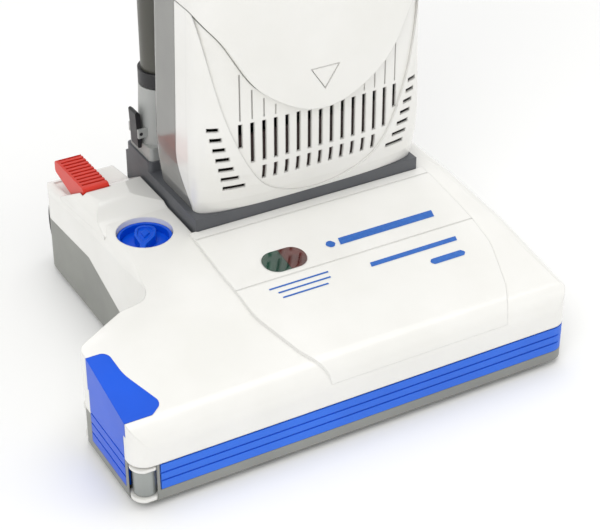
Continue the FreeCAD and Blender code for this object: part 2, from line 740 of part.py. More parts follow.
tray = prism(tray_profile(0), "YZ", tray_left, tray_right)
tray = tray.cut(prism(tray_profile(3), "YZ", tray_left + 3, tray_right - 3))
foot_corners = [(tray_left, 83, 4), (-8, 83, 4), (-8, 128, 4), (tray_left, 128, 4)]
foot_step = prism(foot_corners, "XY", tray_top, tray_top + 9)
tray = tray.fuse(foot_step)
boss = rod(point(notch_left - wall, pivot_y, pivot_z), ALONG_X, trunnion_radius,
           tray_left - notch_left + wall + 1)
pin_boss = rod(point(tray_right - 1, pivot_y, pivot_z), ALONG_X, pin_trunnion_radius,
               arm_gap + wall + 1)
tray = tray.fuse(boss).fuse(pin_boss)
tray = tray.cut(rod(point(notch_left - 10, pivot_y, pivot_z), ALONG_X, duct_bore, 20))
tray = tray.cut(rod(point(tube_x, tube_y, tray_top - 6), ALONG_Z, tube_radius - 1.5, 30))
save("pivot_tray", tray)

# ---------------------------------------------------------------- body shells


def eased(z):
    share = min(1.0, max(0.0, (z - tray_top) / (bulge_z - tray_top)))
    return 1 - (1 - share) ** 2


def half_width(z):
    return shell_foot_half + shell_flare * eased(z) - body_taper * max(0.0, z - bulge_z)


def front_curve(z, inset, proud):
    """The plump front line of the body, from its left side to its right side."""
    half = half_width(z) - inset
    depth = foot_bulge + (front_bulge - foot_bulge) * eased(z) - inset + proud
    spots = []
    for i in range(25):
        turn = math.pi * i / 24
        across = math.copysign(abs(math.cos(turn)) ** (2 / 3), -math.cos(turn))
        spots.append(point(shell_x + half * across, side_start - depth * abs(math.sin(turn)) ** (2 / 3), z))
    spots[0] = point(shell_x - half, side_start, z)
    spots[-1] = point(shell_x + half, side_start, z)
    curve = Part.BSplineCurve()
    curve.interpolate(spots)
    return curve.toShape()


def body_wire(z, inset, proud):
    half = half_width(z) - inset
    rear_line = outline_edges([
        (shell_x + half, side_start, 0),
        (shell_x + half, 78, 25),
        (shell_x + half - 40, 125 - inset, 20),
        (shell_x - half + 45, 125 - inset, 8),
        (shell_x - half + 45, 82 - inset, 8),
        (shell_x - half, 74 - inset, 10),
        (shell_x - half, side_start, 0),
    ], "XY", z)
    return Part.Wire(rear_line[:-1] + [front_curve(z, inset, proud)])


def body_solid(inset, proud):
    rise = (bulge_z - tray_top) / 4
    levels = [tray_top + rise * i for i in range(5)] + [body_top]
    return Part.makeLoft([body_wire(z, inset, proud) for z in levels], True, True)


def front_zone(back):
    """The space that the front shell fills: its rear edge runs forward near the foot."""
    side = [
        (-80, tray_top - 20, 0),
        (back - shell_back + side_start, tray_top - 20, 0),
        (back - shell_back + side_start, tray_top + 4, 20),
        (back, tray_top + 36, 40),
        (back, body_top + 60, 0),
        (-80, body_top + 60, 0),
    ]
    return prism(side, "YZ", -200, 300)


outer_body = body_solid(0, 0)
inner_body = body_solid(wall, 0)


def curve_region(points, lift):
    """The area above a symmetric U-shaped curve, as a solid running front to back."""
    mirrored = [(-a, b) for a, b in reversed(points[1:])] + list(points)
    spots = [point(grille_x + a, -40, b + lift) for a, b in mirrored]
    curve = Part.BSplineCurve()
    curve.interpolate(spots)
    start = spots[0]
    end = spots[-1]
    top = body_top + 30
    edges = [
        curve.toShape(),
        Part.makeLine(end, point(end.x, -40, top)),
        Part.makeLine(point(end.x, -40, top), point(start.x, -40, top)),
        Part.makeLine(point(start.x, -40, top), start),
    ]
    return Part.Face(Part.Wire(edges)).extrude(ALONG_Y * 100)


door_rim = [(0, 194), (16, 196.5), (32, 203.5), (48, 214), (60, 225), (69, 238), (77, 252), (85, 265), (97, 280),
            (108, 300), (112, 345)]
vent_rim = [(0, 115.5), (18, 118), (33, 124), (45, 131), (55, 141), (64, 155), (75, 179), (83, 202), (91, 234),
            (97, 264), (104, 300), (113, 345)]


def height_at(points, across):
    for (a0, b0), (a1, b1) in zip(points, points[1:]):
        if a0 <= across <= a1:
            return b0 + (b1 - b0) * (across - a0) / (a1 - a0)
    return points[-1][1]


def across_at(points, height):
    for (a0, b0), (a1, b1) in zip(points, points[1:]):
        if b0 <= height <= b1:
            return a0 + (a1 - a0) * (height - b0) / (b1 - b0)
    return points[-1][0]


door_region = curve_region(door_rim, 0)
vent_region = curve_region(vent_rim, 0).cut(door_region)
recess = 2.0
zone = front_zone(shell_back)
front_shell = outer_body.cut(inner_body).common(zone)
sunk = body_solid(recess, 0).cut(body_solid(recess + wall, 0)).common(zone)
front_shell = front_shell.cut(vent_region).cut(door_region).fuse(sunk.common(vent_region))
row_high = 193.0
row_step = 157.5
row_low = 140.0
slots = []
for i in range(15):
    across = (i - 7) * slot_pitch
    low_edge = height_at(vent_rim, abs(across)) + 4
    high_edge = height_at(door_rim, abs(across)) - 4
    x = grille_x + across
    rows = ((max(row_step, low_edge), min(row_high, high_edge)), (max(row_low, low_edge), row_step - 4.5))
    for low, high in rows:
        if high - low > 4:
            slots.append(box(x - slot_width / 2, x + slot_width / 2, -40, 20, low, high))
    groove_low = max(row_high + 3, low_edge)
    if high_edge - groove_low > 6:
        sunk_face = side_start - front_bulge + recess
        slots.append(box(x - 0.5, x + 0.5, -40, sunk_face + 0.9 + 0.0011 * across ** 2, groove_low, high_edge))
side_step = 8.9
for k in range(7):
    z = 192 - side_step * k
    near = across_at(vent_rim, z) + 6 + k
    far = 94.5 - 1.9 * k
    for way in (-1, 1):
        x0, x1 = sorted((shell_x + way * near, shell_x + way * far))
        slots.append(box(x0, x1, -40, 20, z - slot_width / 2, z + slot_width / 2))
front_shell = front_shell.cut(Part.makeCompound(slots))
save("front_shell", front_shell)

door_proud = 5.0
flange_back = 7.0
door = body_solid(0, door_proud).common(curve_region(door_rim, 0.6))
door = door.common(zone).common(box(-200, 300, -60, shell_back, 0, door_top))
door_hollow = body_solid(wall, door_proud)
under_top = box(-200, 300, -60, 60, 0, door_top - wall)
behind_face = door_hollow.common(curve_region(door_rim, 0.6 + wall)).common(under_top)
door = door.cut(behind_face).cut(door_hollow.common(box(-200, 300, flange_back, 60, 0, body_top)))
front_face = side_start - front_bulge - door_proud
latch_z = 220.0
latch_corners = [(grille_x - 12, latch_z + 10), (grille_x + 12, latch_z + 10), (grille_x, latch_z - 8)]
latch_hole = prism(sharp([(grille_x - 13, latch_z + 10.6), (grille_x + 13, latch_z + 10.6),
                          (grille_x, latch_z - 9)]), "XZ", -40, 0)
hinge_pin = rod(point(shell_x - 30, door_hinge_y, door_hinge_z), ALONG_X, 2.4, 60)
door = door.cut(latch_hole).fuse(hinge_pin)
save("bag_door", door)
latch_face = front_face + 0.6
save("door_latch", prism(sharp(latch_corners), "XZ", latch_face, latch_face + 8))

housing = outer_body.cut(inner_body.common(box(-200, 300, -60, 200, tray_top + 3, body_top + 1)))
housing = housing.cut(front_zone(shell_back + gap))
shelf_z = 334.0
shelf = body_solid(0.5, 0).common(box(-200, 300, bag_wall_y + gap, 200, shelf_z, shelf_z + 4))
shelf = shelf.cut(front_zone(shell_back + gap))
shelf = shelf.cut(rod(point(body_x, 62, shelf_z - 1), ALONG_Z, 26, 8))
housing = housing.fuse(shelf)
housing_floor_hole = rod(point(body_x, 62, tray_top - 1), ALONG_Z, 12, 8)
gland_z = 150.0
gland_hole = rod(point(body_x, 115, gland_z), ALONG_Y, 6, 20)
housing = housing.cut(housing_floor_hole).cut(gland_hole)
screw_places = [(body_x - 30, 150), (body_x + 30, 150), (body_x - 30, 330), (body_x + 30, 330),
                (body_x - 30, 560), (body_x + 30, 560)]
body_screws = []
for x, z in screw_places:
    housing = housing.cut(rod(point(x, 118, z), ALONG_Y, 2.0, 12))
    body_screws.append(rod(point(x, 119, z), ALONG_Y, 2.0, 6).fuse(rod(point(x, 125, z), ALONG_Y, 3.6, 1.6)))
save("rear_housing", housing)
save("housing_screws", Part.makeCompound(body_screws))
gland = ring(point(body_x, 125, gland_z), ALONG_Y, 9, 4, 5)
gland = gland.fuse(ring(point(body_x, 120, gland_z), ALONG_Y, 6, 4, 6))
save("cord_gland", gland)


def cap_wire(z, inset):
    wire = body_wire(body_top, inset + 0.03 * (z - body_top), 0)
    wire.translate(point(0, 0, z - body_top))
    return wire


cap = Part.makeLoft([cap_wire(body_top, 0), cap_wire(cap_high - 7, 0)], True, True)
for low, high, low_inset, high_inset in ((7, 3, 0, 1.6), (3, 0.8, 1.6, 4.2), (0.8, 0, 4.2, 7)):
    step = Part.makeLoft([cap_wire(cap_high - low, low_inset), cap_wire(cap_high - high, high_inset)],
                         True, True)
    cap = cap.fuse(step)
cap_hollow = Part.makeLoft([cap_wire(body_top - 1, wall), cap_wire(cap_high - 6, wall)], True, True)
cap = cap.cut(cap_hollow)
handle_boss = rod(point(body_x, handle_y, body_top), ALONG_Z, handle_radius + 4, cap_high + 10 - body_top)
inlet = rod(point(inlet_x, inlet_y, body_top), ALONG_Z, hose_radius + 3.5, cap_high + 14 - body_top)
cap = cap.fuse(handle_boss).fuse(inlet)
cap = cap.cut(rod(point(body_x, handle_y, body_top - 1), ALONG_Z, handle_radius, 60))
cap = cap.cut(rod(point(inlet_x, inlet_y, body_top - 1), ALONG_Z, hose_radius + running, 60))
save("top_cap", cap)

# ---------------------------------------------------------------- suction motor, filters, bag
motor_x = body_x
motor_axis_y = 62.0
can_low = 140.0
can_high = shelf_z - 18
can_radius = 46.0
can_inner = 43.0
can = rod(point(motor_x, motor_axis_y, can_low), ALONG_Z, can_radius, can_high - can_low)
can = can.cut(rod(point(motor_x, motor_axis_y, can_low + 3), ALONG_Z, can_inner, can_high - can_low - 6))
can = can.cut(rod(point(motor_x, motor_axis_y, can_high - 4), ALONG_Z, 16, 8))
for i in range(8):
    window = box(can_inner - 6, can_radius + 2, -7, 7, can_low + 14, can_low + 34)
    window.rotate(point(0, 0, 0), ALONG_Z, 45 * i)
    window.translate(point(motor_x, motor_axis_y, 0))
    can = can.cut(window)
save("suction_motor", can)
rotor = rod(point(motor_x, motor_axis_y, can_low + 4), ALONG_Z, 4, can_high - can_low - 9)
rotor = rotor.fuse(rod(point(motor_x, motor_axis_y, can_low + 45), ALONG_Z, 24, 60))
rotor = rotor.fuse(rod(point(motor_x, motor_axis_y, can_high - 24), ALONG_Z, 40, 14))
save("motor_fan", rotor)
mounts = []
for z0, z1 in ((tray_top + 3, can_low), (can_high, shelf_z)):
    mounts.append(ring(point(motor_x, motor_axis_y, z0), ALONG_Z, 36, 29, z1 - z0))
save("motor_mounts", Part.makeCompound(mounts))
foam = body_solid(recess + wall + gap, 0).cut(body_solid(recess + wall + 3, 0))
foam_box = box(grille_x - 80, grille_x + 80, -40, 12, tray_top + 4, 182)
save("exhaust_filter", foam.common(foam_box))
filter_plate = box(body_x - 60, body_x + 60, 18, 69, shelf_z + 4, shelf_z + 18)
save("motor_filter", filter_plate)
collar_z = body_top - 34
bag = box(-22, 122, 18, 69, shelf_z + 22, collar_z - 4)
bag = bag.makeFillet(16, bag.Edges)
save("dust_bag", bag)
bag_collar = box(inlet_x - 30, inlet_x + 34, 16, 60, collar_z, collar_z + 4)
bag_collar = bag_collar.cut(rod(point(inlet_x + 6, inlet_y + 8, collar_z - 1), ALONG_Z, 16, 6))
bag_neck = ring(point(inlet_x + 6, inlet_y + 8, collar_z - 4), ALONG_Z, 19, 16, 4)
save("bag_collar", bag_collar.fuse(bag_neck))

# ---------------------------------------------------------------- standing tube, cuff, hose
step_top = tray_top + 9
cuff_top = 185.0
cuff = prism([(tray_left + 2, 85, 4), (-10, 85, 4), (-10, 126, 4), (tray_left + 2, 126, 4)], "XY",
             step_top, step_top + 12)
cuff = cuff.fuse(Part.makeCone(21.0, 18.6, cuff_top - step_top - 12,
                               point(tube_x, tube_y, step_top + 12), ALONG_Z))
cuff = cuff.cut(rod(point(tube_x, tube_y, step_top - 1), ALONG_Z, tube_radius - 2, 70))
cuff = cuff.cut(rod(point(tube_x, tube_y, tube_low - 0.2), ALONG_Z, tube_radius + running, 60))
lever_x = tube_x - 24.0
lever_z = 146.0
for y in (tube_y - 9.5, tube_y + 7):
    ear = box(lever_x - 2.5, tube_x - 16.5, y, y + 2.5, lever_z - 4, lever_z + 4)
    ear = ear.cut(rod(point(lever_x, y - 1, lever_z), ALONG_Y, 1.5 + running, 5))
    cuff = cuff.fuse(ear)
save("cuff_socket", cuff)
lever_corners = [(lever_x - 2, lever_z - 14, 1), (lever_x + 1, lever_z - 14, 1), (lever_x + 2.2, lever_z, 0),
                 (lever_x + 1, lever_z + 17, 1), (lever_x - 3.5, lever_z + 21, 1.5), (lever_x - 2.5, lever_z, 0)]
lever = prism(lever_corners, "XZ", tube_y - 6.6, tube_y + 6.6)
lever_pin = rod(point(lever_x, tube_y - 9.5, lever_z), ALONG_Y, 1.5, 19)
save("cuff_latch", lever.fuse(lever_pin))
save("suction_tube", ring(point(tube_x, tube_y, tube_low), ALONG_Z, tube_radius, tube_radius - 1.5,
                          tube_high - tube_low))
save("tube_collar", ring(point(tube_x, tube_y, cuff_top + 1), ALONG_Z, tube_radius + 2.6, tube_radius, 13))

bend = point(inlet_x - tube_x, inlet_y - tube_y, 0)
bend_reach = bend.Length
bend_way = bend.normalize()
bend_radius = bend_reach / 2
hose_start = tube_high - 40
bend_z = tube_high + 30
inlet_low = body_top + 12


def hose_solid(radius):
    up = rod(point(tube_x, tube_y, hose_start), ALONG_Z, radius, bend_z - hose_start)
    down = rod(point(inlet_x, inlet_y, inlet_low), ALONG_Z, radius, bend_z - inlet_low)
    centre = point(tube_x, tube_y, bend_z) + bend_way * bend_radius
    circle = Part.Face(Part.Wire(Part.makeCircle(radius, point(tube_x, tube_y, bend_z), ALONG_Z)))
    turn_axis = ALONG_Z.cross(bend_way)
    arch = circle.revolve(centre, turn_axis, 180)
    return up.fuse(arch).fuse(down)


hose = hose_solid(hose_radius).cut(hose_solid(hose_radius - hose_wall))
tube_seat = rod(point(tube_x, tube_y, hose_start - 1), ALONG_Z, tube_radius, tube_high - hose_start + 1)
save("top_hose", hose.cut(tube_seat))

# ---------------------------------------------------------------- handle
lower_low = body_top - 40
lower_high = overall_height - 270
save("handle_tube_lower", ring(point(body_x, handle_y, lower_low), ALONG_Z, handle_radius,
                               handle_inner_radius + running, lower_high - lower_low))
clamp = ring(point(body_x, handle_y, lower_high - 40), ALONG_Z, handle_radius + 4,
             handle_radius + running, 40)
for i in range(12):
    flute = rod(point(handle_radius + 5.2, 0, lower_high - 36), ALONG_Z, 2.2, 32)
    flute.rotate(point(0, 0, 0), ALONG_Z, 30 * i)
    flute.translate(point(body_x, handle_y, 0))
    clamp = clamp.cut(flute)
save("clamp_ring", clamp)
grip_low = overall_height - 150
save("handle_tube_upper", ring(point(body_x, handle_y, 700), ALONG_Z, handle_inner_radius, 11,
                               grip_low + 40 - 700))
grip_side = [
    (handle_y - 20, grip_low, 6),
    (handle_y + 20, grip_low, 6),
    (handle_y + 24, grip_low + 45, 12),
    (handle_y + 55, overall_height - 22, 14),
    (handle_y + 40, overall_height, 12),
    (handle_y - 62, overall_height, 16),
    (handle_y - 64, overall_height - 30, 12),
    (handle_y - 22, grip_low + 50, 14),
]
grip = prism(grip_side, "YZ", body_x - 17, body_x + 17)
finger_hole = [
    (handle_y - 3, grip_low + 58, 8),
    (handle_y + 30, overall_height - 36, 9),
    (handle_y + 22, overall_height - 24, 6),
    (handle_y - 46, overall_height - 24, 5),
    (handle_y - 43, overall_height - 32, 3),
]
finger_cut = prism(finger_hole, "YZ", body_x - 40, body_x + 40)
grip = grip.cut(finger_cut)
grip = grip.cut(rod(point(body_x, handle_y, grip_low - 1), ALONG_Z, handle_inner_radius, 41))
rocker_y = handle_y - 22
rocker_z = grip_low + 26
switch_hole = box(body_x - 7, body_x + 7, rocker_y - 30, rocker_y + 9, rocker_z - 11, rocker_z + 11)
grip = grip.cut(switch_hole)
rocker_pin_y = rocker_y + 4
rocker_pin_radius = 1.3
grip = grip.cut(rod(point(body_x - 9, rocker_pin_y, rocker_z), ALONG_X, rocker_pin_radius + running, 18))
save("handle_grip", grip)
rocker_shape = [
    (rocker_y - 2.0, rocker_z - 10, 1),
    (rocker_y + 0.8, rocker_z, 0),
    (rocker_y - 1.2, rocker_z + 10, 1),
    (rocker_y + 7, rocker_z + 8, 1),
    (rocker_y + 7, rocker_z - 8, 1),
]
rocker = prism(rocker_shape, "YZ", body_x - 6.7, body_x + 6.7)
rocker = rocker.fuse(rod(point(body_x - 8.8, rocker_pin_y, rocker_z), ALONG_X, rocker_pin_radius, 17.6))
save("power_rocker", rocker)
hook_z = overall_height - 190
hook_seat = ring(point(body_x, handle_y, hook_z), ALONG_Z, handle_inner_radius + 4,
                 handle_inner_radius + running, 14)
hook_arm = box(body_x - 5, body_x + 5, handle_y + 13.5, handle_y + 46, hook_z + 4, hook_z + 12)
hook_tip = box(body_x - 5, body_x + 5, handle_y + 40, handle_y + 46, hook_z + 4, hook_z + 34)
save("cord_hook", hook_seat.fuse(hook_arm).fuse(hook_tip))
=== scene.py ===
import json
import math

import bmesh
import bpy
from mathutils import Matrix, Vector, noise
from mathutils.bvhtree import BVHTree


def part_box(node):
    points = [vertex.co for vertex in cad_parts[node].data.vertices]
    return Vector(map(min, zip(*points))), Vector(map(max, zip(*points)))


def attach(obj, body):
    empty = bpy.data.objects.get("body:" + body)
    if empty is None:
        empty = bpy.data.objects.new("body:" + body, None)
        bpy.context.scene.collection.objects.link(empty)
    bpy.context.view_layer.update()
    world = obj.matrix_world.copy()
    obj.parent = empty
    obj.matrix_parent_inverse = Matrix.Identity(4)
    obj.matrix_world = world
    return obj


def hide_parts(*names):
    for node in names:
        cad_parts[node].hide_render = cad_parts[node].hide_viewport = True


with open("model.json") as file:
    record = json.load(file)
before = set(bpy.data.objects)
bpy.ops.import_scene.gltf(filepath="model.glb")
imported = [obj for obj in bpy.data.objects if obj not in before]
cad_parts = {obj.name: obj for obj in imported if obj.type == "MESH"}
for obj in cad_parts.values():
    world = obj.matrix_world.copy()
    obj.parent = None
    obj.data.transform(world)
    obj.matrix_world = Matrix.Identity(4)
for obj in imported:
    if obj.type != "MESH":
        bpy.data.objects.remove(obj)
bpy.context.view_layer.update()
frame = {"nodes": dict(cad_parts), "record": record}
nodes = frame["nodes"]
MM = 0.001


def mm(*values):
    return Vector(values) * MM


# ------------------------------------------------------------------ materials

def colour(code):
    """An sRGB hex colour as the linear values a shader takes."""
    parts = [int(code[i:i + 2], 16) / 255 for i in (1, 3, 5)]
    linear = [c / 12.92 if c <= 0.04045 else ((c + 0.055) / 1.055) ** 2.4 for c in parts]
    return (*linear, 1.0)


def add(tree, kind, inputs=None, **settings):
    """Adds a node, sets its options, and fills or links its inputs."""
    made = tree.nodes.new(kind)
    for name, value in settings.items():
        setattr(made, name, value)
    for socket, value in (inputs or {}).items():
        if isinstance(value, bpy.types.NodeSocket):
            tree.links.new(value, made.inputs[socket])
        else:
            made.inputs[socket].default_value = value
    return made


def new_material(name, **surface):
    """A material with a principled shader whose plain values are set on its own sockets."""
    made = bpy.data.materials.new(name)
    made.use_nodes = True
    tree = made.node_tree
    shader = tree.nodes["Principled BSDF"]
    for socket, value in surface.items():
        shader.inputs[socket.replace("_", " ")].default_value = value
    place = add(tree, "ShaderNodeTexCoord").outputs["Object"]
    return made, tree, shader, place


def spread(tree, factor, low, high):
    """Maps a pattern's 0 to 1 onto a small range of a plain value."""
    mapped = add(tree, "ShaderNodeMapRange", {"Value": factor, "To Min": low, "To Max": high})
    return mapped.outputs["Result"]


def two_tones(tree, factor, first, second, low=0.35, high=0.65):
    """A colour that drifts between two close tones."""
    ramp = add(tree, "ShaderNodeValToRGB", {"Fac": factor})
    ramp.color_ramp.elements[0].position = low
    ramp.color_ramp.elements[1].position = high
    ramp.color_ramp.elements[0].color = colour(first)
    ramp.color_ramp.elements[1].color = colour(second)
    return ramp.outputs["Color"]


def moulded_plastic(name, main, tone, rough, grain_mm, grain_depth, edge_mm=0.8, coat=0.0, ior=1.53):
    """Injection-moulded plastic: soft broken edges, a faint flow of tone and a fine tool texture.

    The eye gets a thin bright line along each moulded edge and a highlight that is not quite even.
    """
    made, tree, shader, place = new_material(name, IOR=ior, Coat_Weight=coat, Coat_Roughness=0.06)
    flow = add(tree, "ShaderNodeTexNoise", {"Vector": place, "Scale": 14.0, "Detail": 3.0})
    tree.links.new(two_tones(tree, flow.outputs["Fac"], main, tone), shader.inputs["Base Color"])
    handled = add(tree, "ShaderNodeTexNoise", {"Vector": place, "Scale": 45.0, "Detail": 5.0,
                                               "Roughness": 0.6})
    tree.links.new(spread(tree, handled.outputs["Fac"], rough * 0.82, rough * 1.25),
                   shader.inputs["Roughness"])
    grain = add(tree, "ShaderNodeTexNoise", {"Vector": place, "Scale": 1.0 / (grain_mm * MM),
                                             "Detail": 2.0})
    edge = add(tree, "ShaderNodeBevel", {"Radius": edge_mm * MM}, samples=4)
    bump = add(tree, "ShaderNodeBump", {"Height": grain.outputs["Fac"], "Distance": grain_depth * MM,
                                        "Strength": 0.6, "Normal": edge.outputs["Normal"]})
    tree.links.new(bump.outputs["Normal"], shader.inputs["Normal"])
    return made


def turned_metal(name, main, tone, rough, line_mm, metallic=1.0):
    """Drawn or turned metal: fine lines round the piece that stretch its highlights into streaks."""
    made, tree, shader, place = new_material(name, Metallic=metallic)
    lines = add(tree, "ShaderNodeMapping", {"Vector": place, "Scale": (0.05, 0.05, 1.0)})
    grain = add(tree, "ShaderNodeTexNoise", {"Vector": lines.outputs["Vector"],
                                             "Scale": 1.0 / (line_mm * MM), "Detail": 3.0})
    tree.links.new(two_tones(tree, grain.outputs["Fac"], main, tone), shader.inputs["Base Color"])
    tree.links.new(spread(tree, grain.outputs["Fac"], rough * 0.75, rough * 1.35),
                   shader.inputs["Roughness"])
    edge = add(tree, "ShaderNodeBevel", {"Radius": 0.4 * MM}, samples=4)
    bump = add(tree, "ShaderNodeBump", {"Height": grain.outputs["Fac"], "Distance": 0.02 * MM,
                                        "Strength": 0.4, "Normal": edge.outputs["Normal"]})
    tree.links.new(bump.outputs["Normal"], shader.inputs["Normal"])
    return made


def soft_rubber(name, main, tone, rough, grain_mm):
    """Moulded rubber: dull and slightly dusty, with a pebbled skin that breaks up any highlight."""
    made, tree, shader, place = new_material(name, IOR=1.52)
    dust = add(tree, "ShaderNodeTexNoise", {"Vector": place, "Scale": 60.0, "Detail": 6.0})
    tree.links.new(two_tones(tree, dust.outputs["Fac"], main, tone), shader.inputs["Base Color"])
    tree.links.new(spread(tree, dust.outputs["Fac"], rough * 0.85, min(1.0, rough * 1.15)),
                   shader.inputs["Roughness"])
    skin = add(tree, "ShaderNodeTexVoronoi", {"Vector": place, "Scale": 1.0 / (grain_mm * MM)})
    bump = add(tree, "ShaderNodeBump", {"Height": skin.outputs["Distance"], "Distance": 0.1 * MM,
                                        "Strength": 0.5})
    tree.links.new(bump.outputs["Normal"], shader.inputs["Normal"])
    return made


def tinted_lens(name, main, tone):
    """Tinted polycarbonate: a deep, dark colour under a hard clear skin with sharp highlights."""
    made, tree, shader, place = new_material(name, IOR=1.58, Coat_Weight=1.0, Coat_Roughness=0.03,
                                             Transmission_Weight=0.15)
    depth = add(tree, "ShaderNodeTexNoise", {"Vector": place, "Scale": 90.0, "Detail": 1.0})
    tree.links.new(two_tones(tree, depth.outputs["Fac"], main, tone, 0.3, 0.8), shader.inputs["Base Color"])
    ripple = add(tree, "ShaderNodeTexNoise", {"Vector": place, "Scale": 160.0, "Detail": 2.0})
    tree.links.new(spread(tree, ripple.outputs["Fac"], 0.05, 0.14), shader.inputs["Roughness"])
    bump = add(tree, "ShaderNodeBump", {"Height": ripple.outputs["Fac"], "Distance": 0.04 * MM,
                                        "Strength": 0.3})
    tree.links.new(bump.outputs["Normal"], shader.inputs["Normal"])
    return made


def fibre_web(name, main, tone, fibre_mm, rough=0.9):
    """Non-woven paper, fleece or open foam: matted fibres that look soft and throw no highlight."""
    made, tree, shader, place = new_material(name, IOR=1.45, Sheen_Weight=0.15)
    mat = add(tree, "ShaderNodeTexNoise", {"Vector": place, "Scale": 1.0 / (fibre_mm * MM), "Detail": 8.0,
                                           "Roughness": 0.7, "Distortion": 0.8})
    tree.links.new(two_tones(tree, mat.outputs["Fac"], main, tone, 0.3, 0.7), shader.inputs["Base Color"])
    tree.links.new(spread(tree, mat.outputs["Fac"], rough * 0.9, 1.0), shader.inputs["Roughness"])
    bump = add(tree, "ShaderNodeBump", {"Height": mat.outputs["Fac"], "Distance": 0.3 * MM,
                                        "Strength": 0.7})
    tree.links.new(bump.outputs["Normal"], shader.inputs["Normal"])
    return made


def printed_ink(name, main, tone):
    """Pad-printed ink: a thin flat film, duller than the gloss plastic it lies on, slightly uneven."""
    made, tree, shader, place = new_material(name, IOR=1.5)
    film = add(tree, "ShaderNodeTexNoise", {"Vector": place, "Scale": 400.0, "Detail": 4.0})
    tree.links.new(two_tones(tree, film.outputs["Fac"], main, tone), shader.inputs["Base Color"])
    tree.links.new(spread(tree, film.outputs["Fac"], 0.4, 0.55), shader.inputs["Roughness"])
    return made


FINISHES = {
    "white_abs": moulded_plastic("white ABS, gloss moulded",
                                 "#f3f2ee", "#eeede8", 0.22, 1.4, 0.010, 1.4, 0.25),
    "blue_abs": moulded_plastic("blue ABS, gloss moulded",
                                "#0058e0", "#0052d4", 0.3, 1.6, 0.005, 1.0, 0.0, 1.38),
    "blue_bumper": moulded_plastic("blue soft bumper, satin moulded",
                                   "#3274ea", "#2d6ce0", 0.5, 0.6, 0.01, 0.5, 0.0, 1.42),
    "dark_base": moulded_plastic("charcoal ABS, fine spark texture",
                                 "#5b5d61", "#535559", 0.48, 0.5, 0.03, 0.9),
    "grey_side": moulded_plastic("grey ABS, polished moulded",
                                 "#83837e", "#7b7b77", 0.16, 1.5, 0.008, 1.2, 0.4),
    "chassis_grey": moulded_plastic("grey polypropylene, satin moulded",
                                    "#94958f", "#8a8b86", 0.5, 0.7, 0.03, 0.8),
    "light_grey": moulded_plastic("light grey ABS, satin moulded",
                                  "#b4b6b3", "#a9aba8", 0.42, 0.7, 0.02, 0.6),
    "black_plastic": moulded_plastic("black nylon, satin moulded",
                                     "#1b1b1d", "#242427", 0.4, 0.6, 0.02, 0.6),
    "red_plastic": moulded_plastic("red ABS, gloss moulded",
                                   "#e23a2b", "#d83022", 0.34, 1.0, 0.01, 0.9, 0.0, 1.42),
    "tube_grey": moulded_plastic("olive grey PVC tube, extruded",
                                 "#55544c", "#4c4b44", 0.34, 1.2, 0.012, 0.5),
    "roller_plastic": moulded_plastic("smoked grey acetal, turned",
                                      "#a3a7a3", "#8f9390", 0.2, 1.0, 0.01, 0.7, 0.4),
    "steel": turned_metal("steel, drawn and plated", "#b9bbbd", "#9fa2a5", 0.26, 0.35),
    "steel_sheet": turned_metal("sheet steel, stamped", "#a7a9ab", "#929598", 0.36, 0.5),
    "motor_can": turned_metal("motor can, enamelled steel", "#55595e", "#4a4e53", 0.4, 0.6, 0.6),
    "brass": turned_metal("brass, turned", "#c8a75c", "#b39249", 0.28, 0.3),
    "rubber": soft_rubber("black rubber, moulded", "#222222", "#2c2b2a", 0.72, 0.8),
    "tyre": soft_rubber("grey rubber tyre, moulded", "#3a3a3b", "#454443", 0.78, 1.0),
    "belt": soft_rubber("neoprene belt, moulded", "#1e1e1e", "#272626", 0.65, 0.6),
    "hose": moulded_plastic("grey EVA hose, extruded and corrugated",
                            "#3b3c3e", "#33343a", 0.42, 0.8, 0.02, 0.4),
    "lens_green": tinted_lens("green tinted polycarbonate", "#123a2e", "#1c5240"),
    "lens_red": tinted_lens("red tinted polycarbonate", "#4e1f1c", "#6e2a26"),
    "bristle": fibre_web("nylon filament, cut", "#26282c", "#34373c", 0.5, 0.6),
    "filter": fibre_web("pleated fleece", "#7a2f2c", "#8b3a34", 1.0),
    "bag": fibre_web("non-woven paper bag", "#d9d2c2", "#cbc3b0", 1.6),
    "foam": fibre_web("open-cell foam", "#2c2122", "#3c2a2a", 0.9),
}
BLUE_INK = printed_ink("blue pad-printed ink", "#1c5fb8", "#2a6cc2")
slot_of = {part["node"]: part["material_slot"] for part in frame["record"]["subparts"]}
for name, thing in nodes.items():
    thing.data.materials.clear()
    thing.data.materials.append(FINISHES[slot_of[name]])


# ------------------------------------------------------------------ helpers for new pieces

def piece_from(name, build, finish, body, stands_for=(), material=None):
    """A mesh object from a bmesh, with its finish, riding on a body of the machine."""
    mesh = bpy.data.meshes.new(name)
    build.to_mesh(mesh)
    build.free()
    thing = bpy.data.objects.new(name, mesh)
    bpy.context.scene.collection.objects.link(thing)
    thing.data.materials.append(material or FINISHES[finish])
    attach(thing, body)
    if stands_for:
        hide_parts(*stands_for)
    return thing


def plain_mesh(maker, name, body, stands_for=()):
    """Turns an object with a geometry tree into a plain mesh that rides on a body."""
    graph = bpy.context.evaluated_depsgraph_get()
    mesh = bpy.data.meshes.new_from_object(maker.evaluated_get(graph))
    mesh.name = name
    thing = bpy.data.objects.new(name, mesh)
    bpy.context.scene.collection.objects.link(thing)
    bpy.data.objects.remove(maker)
    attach(thing, body)
    if stands_for:
        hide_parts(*stands_for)
    return thing


